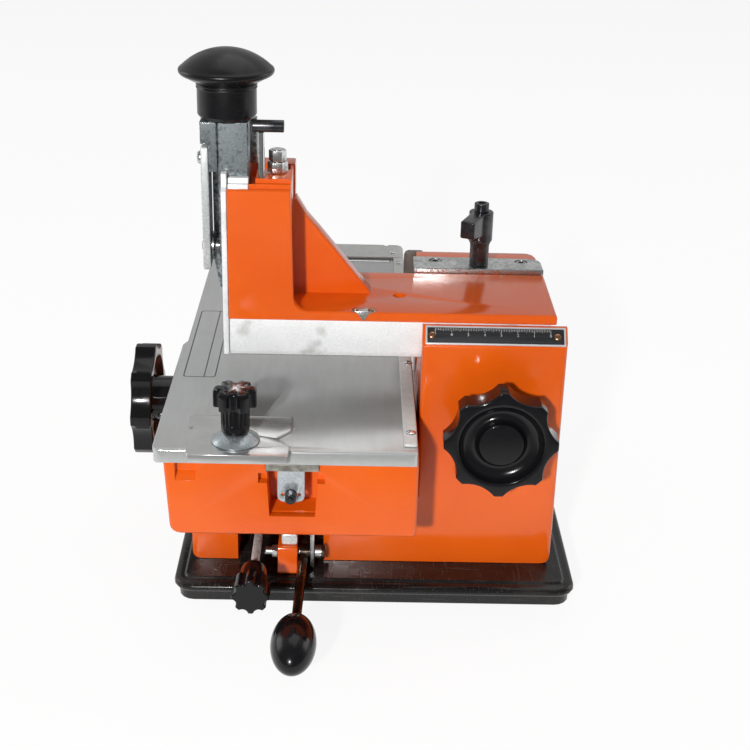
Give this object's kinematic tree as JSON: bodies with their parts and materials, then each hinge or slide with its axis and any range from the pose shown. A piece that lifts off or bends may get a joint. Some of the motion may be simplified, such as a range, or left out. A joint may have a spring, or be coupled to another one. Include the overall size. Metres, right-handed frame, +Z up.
{
  "type": "nameplate marking machine",
  "caption": "Bench-top nameplate marking machine: a hand-pressed ram on a beam slides over a sliding table, both moved by lobed handwheels, on a rubber-footed base.",
  "frame": {"origin": "on the floor under the middle of the machine's overall size, handwheels and table included", "axes": "+X to the machine's right, +Y to its rear, +Z up"},
  "size_m": [0.289, 0.43, 0.3464],
  "materials": {
    "gloss_black_moulding": "moulded black, satin gloss",
    "orange_enamel": "glossy orange enamel on castings",
    "rubber": "matt black rubber",
    "zinc_plate": "machined steel with mottled zinc plating",
    "steel": "ground and turned steel",
    "table_sheet": "satin grey plated sheet steel",
    "scale_frame": "bright anodised aluminium frame",
    "scale_black": "black anodised strip",
    "black_oxide": "black oxide steel",
    "black_knob": "polished black thermoset",
    "dark_rod": "dark bronze-brown finished steel"
  },
  "bodies": {
    "machine_frame": {"base_plate": "gloss_black_moulding", "rubber_foot_front_left": "rubber", "rubber_foot_front_right": "rubber", "rubber_foot_rear_left": "rubber", "rubber_foot_rear_right": "rubber", "main_housing": "orange_enamel", "bed_rail_left": "steel", "bed_rail_right": "steel", "bed_rack": "steel", "scale_holder": "scale_frame", "scale_strip": "scale_black", "rear_clamp_bar": "zinc_plate", "clamp_bar_screw_left": "steel", "clamp_bar_screw_right": "steel", "beam_shaft_bush": "steel", "rear_guard": "gloss_black_moulding", "feed_bracket": "orange_enamel", "feed_pad": "zinc_plate", "feed_pivot_bolt": "zinc_plate", "feed_pivot_nut": "zinc_plate"},
    "beam": {"beam_casting": "orange_enamel", "dovetail_slide": "zinc_plate", "end_plate": "zinc_plate", "front_gib": "zinc_plate", "beam_rack": "steel", "pointer": "zinc_plate", "head_bolt": "zinc_plate", "head_lock_nut": "zinc_plate", "ram_return_spring": "steel"},
    "beam_wheel": {"beam_handwheel": "black_knob", "beam_wheel_shaft": "steel"},
    "ram": {"ram_slide": "zinc_plate", "ram_side_block": "zinc_plate", "arm_plate": "zinc_plate", "arm_screw": "zinc_plate", "cross_shaft": "steel", "palm_knob": "black_knob"},
    "lock_pin": {"lock_pin": "steel", "lock_pin_handle": "black_oxide"},
    "clamp_lever": {"clamp_lever": "black_oxide", "clamp_stud": "steel", "clamp_lever_screw": "black_oxide"},
    "carriage": {"carriage": "orange_enamel", "table_plate": "table_sheet", "gauge_strip": "table_sheet", "rear_strip": "table_sheet", "slide_bar": "zinc_plate", "tab_bracket": "zinc_plate", "bracket_screw": "black_oxide", "dished_washer": "zinc_plate", "clamp_screw_stud": "steel"},
    "table_wheel": {"table_handwheel": "black_knob", "table_wheel_shaft": "steel"},
    "clamp_plate": {"clamp_plate": "zinc_plate"},
    "star_knob": {"clamp_star_knob": "black_knob"},
    "spacing_screw": {"spacing_screw": "zinc_plate", "spacing_star_knob": "black_knob"},
    "feed_lever": {"feed_lever_rod": "dark_rod", "feed_lever_ball": "black_knob", "feed_pawl": "zinc_plate"}
  },
  "joints": [
    {"name": "beam_slide", "type": "slide", "parent": "machine_frame", "child": "beam", "axis": [1, 0, 0], "range_m": [0, 0.105]},
    {"name": "beam_wheel_turn", "type": "hinge", "parent": "machine_frame", "child": "beam_wheel", "pos_m": [0.08995, -0.092, 0.129], "axis": [0, 1, 0], "range_deg": [-2, 234]},
    {"name": "ram_press", "type": "slide", "parent": "beam", "child": "ram", "axis": [0, 0, -1], "range_m": [0, 0.015], "stiffness_N_per_m": 700, "springref_m": -0.02, "deforming": ["ram_return_spring"]},
    {"name": "lock_pin_turn", "type": "hinge", "parent": "beam", "child": "lock_pin", "pos_m": [-0.05465, -0.0724, 0.283], "axis": [0, 0, 1], "range_deg": [-90, 0]},
    {"name": "clamp_lever_turn", "type": "hinge", "parent": "machine_frame", "child": "clamp_lever", "pos_m": [0.08225, 0.0003, 0.213], "axis": [0, 0, 1], "range_deg": [-40, 50]},
    {"name": "carriage_slide", "type": "slide", "parent": "machine_frame", "child": "carriage", "axis": [0, 1, 0], "range_m": [-0.06, 0.042]},
    {"name": "table_wheel_turn", "type": "hinge", "parent": "carriage", "child": "table_wheel", "pos_m": [0.01725, -0.0047, 0.098], "axis": [1, 0, 0], "range_deg": [-202, 288]},
    {"name": "clamp_plate_slide", "type": "slide", "parent": "carriage", "child": "clamp_plate", "axis": [0, 1, 0], "range_m": [-0.002, 0.0075]},
    {"name": "star_knob_turn", "type": "hinge", "parent": "carriage", "child": "star_knob", "pos_m": [-0.06635, -0.1413, 0.153], "axis": [0, 0, 1], "range_deg": [0, 360]},
    {"name": "spacing_screw_turn", "type": "hinge", "parent": "machine_frame", "child": "spacing_screw", "pos_m": [-0.05735, -0.092, 0.0435], "axis": [0, 1, 0], "continuous": true},
    {"name": "feed_lever_press", "type": "hinge", "parent": "machine_frame", "child": "feed_lever", "pos_m": [-0.02755, -0.1, 0.0364], "axis": [1, 0, 0], "range_deg": [0, 6], "stiffness_Nm_per_rad": 1, "springref_deg": -8.59}
  ],
  "couplings": [
    {"joint": "beam_wheel_turn", "follows": "beam_slide", "rad_per_m": 38.462},
    {"joint": "table_wheel_turn", "follows": "carriage_slide", "rad_per_m": -83.333}
  ]
}
